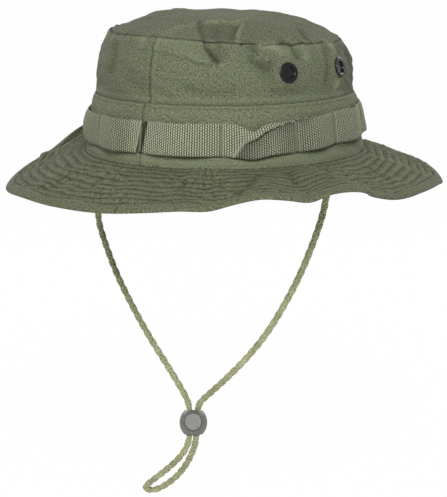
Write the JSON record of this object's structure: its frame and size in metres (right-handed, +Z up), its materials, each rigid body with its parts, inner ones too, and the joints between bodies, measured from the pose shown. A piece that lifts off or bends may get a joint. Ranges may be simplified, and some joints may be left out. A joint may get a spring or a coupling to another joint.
{
  "type": "boonie hat",
  "caption": "Soft wide-brimmed boonie hat with stitched wavy brim, webbing loop band, screened eyelets and a braided chin cord with a push-button cord lock.",
  "frame": {"origin": "centre of the head opening, in the plane of the seam between crown and brim", "axes": "+Z up through the crown, +Y towards the wearer's front, +X towards the wearer's right"},
  "size_m": [0.304, 0.314, 0.3582],
  "materials": {
    "crown_cloth": "matt ripstop cotton blend",
    "brim_cloth": "matt ripstop cotton blend, stitched",
    "interlining": "stiff non-woven",
    "sweatband_cloth": "soft twill",
    "webbing": "ribbed cotton webbing",
    "thread": "polyester thread",
    "cord": "braided polyester",
    "black_metal": "black enamel on brass",
    "screen": "fine black mesh",
    "lock_plastic": "satin moulded acetal",
    "spring_steel": "bright"
  },
  "bodies": {
    "hat": {"crown_side_panel_right": "crown_cloth", "crown_band_right": "crown_cloth", "brim_upper_ply_right": "brim_cloth", "brim_under_ply_right": "brim_cloth", "brim_interlining_right": "interlining", "cord_anchor_right": "sweatband_cloth", "crown_side_panel_left": "crown_cloth", "crown_band_left": "crown_cloth", "brim_upper_ply_left": "brim_cloth", "brim_under_ply_left": "brim_cloth", "brim_interlining_left": "interlining", "cord_anchor_left": "sweatband_cloth", "crown_top_panel": "crown_cloth", "brim_edge_hem": "brim_cloth", "sweatband": "sweatband_cloth", "webbing_band": "webbing", "webbing_bartacks": "thread", "eyelet_grommet_1": "black_metal", "eyelet_screen_1": "screen", "eyelet_washer_1": "black_metal", "eyelet_grommet_2": "black_metal", "eyelet_screen_2": "screen", "eyelet_washer_2": "black_metal", "eyelet_grommet_3": "black_metal", "eyelet_screen_3": "screen", "eyelet_washer_3": "black_metal", "eyelet_grommet_4": "black_metal", "eyelet_screen_4": "screen", "eyelet_washer_4": "black_metal"},
    "chin_cord": {"chin_cord": "cord"},
    "cord_lock": {"cord_lock_body": "lock_plastic", "cord_lock_spring": "spring_steel"},
    "lock_plunger": {"cord_lock_plunger": "lock_plastic"}
  },
  "joints": [
    {"name": "chin_cord_swing", "type": "hinge", "parent": "hat", "child": "chin_cord", "pos_m": [0, -0.014, -0.001], "axis": [1, 0, 0], "range_deg": [-60, 60], "deforming": ["chin_cord"]},
    {"name": "lock_slide", "type": "slide", "parent": "chin_cord", "child": "cord_lock", "axis": [0.0923, 0, 0.9957], "range_m": [-0.02, 0.1], "deforming": ["chin_cord"]},
    {"name": "plunger_press", "type": "slide", "parent": "cord_lock", "child": "lock_plunger", "axis": [-0.4698, 0.8138, -0.342], "range_m": [0, 0.003], "stiffness_N_per_m": 500, "springref_m": -0.004, "deforming": ["cord_lock_spring"]}
  ]
}
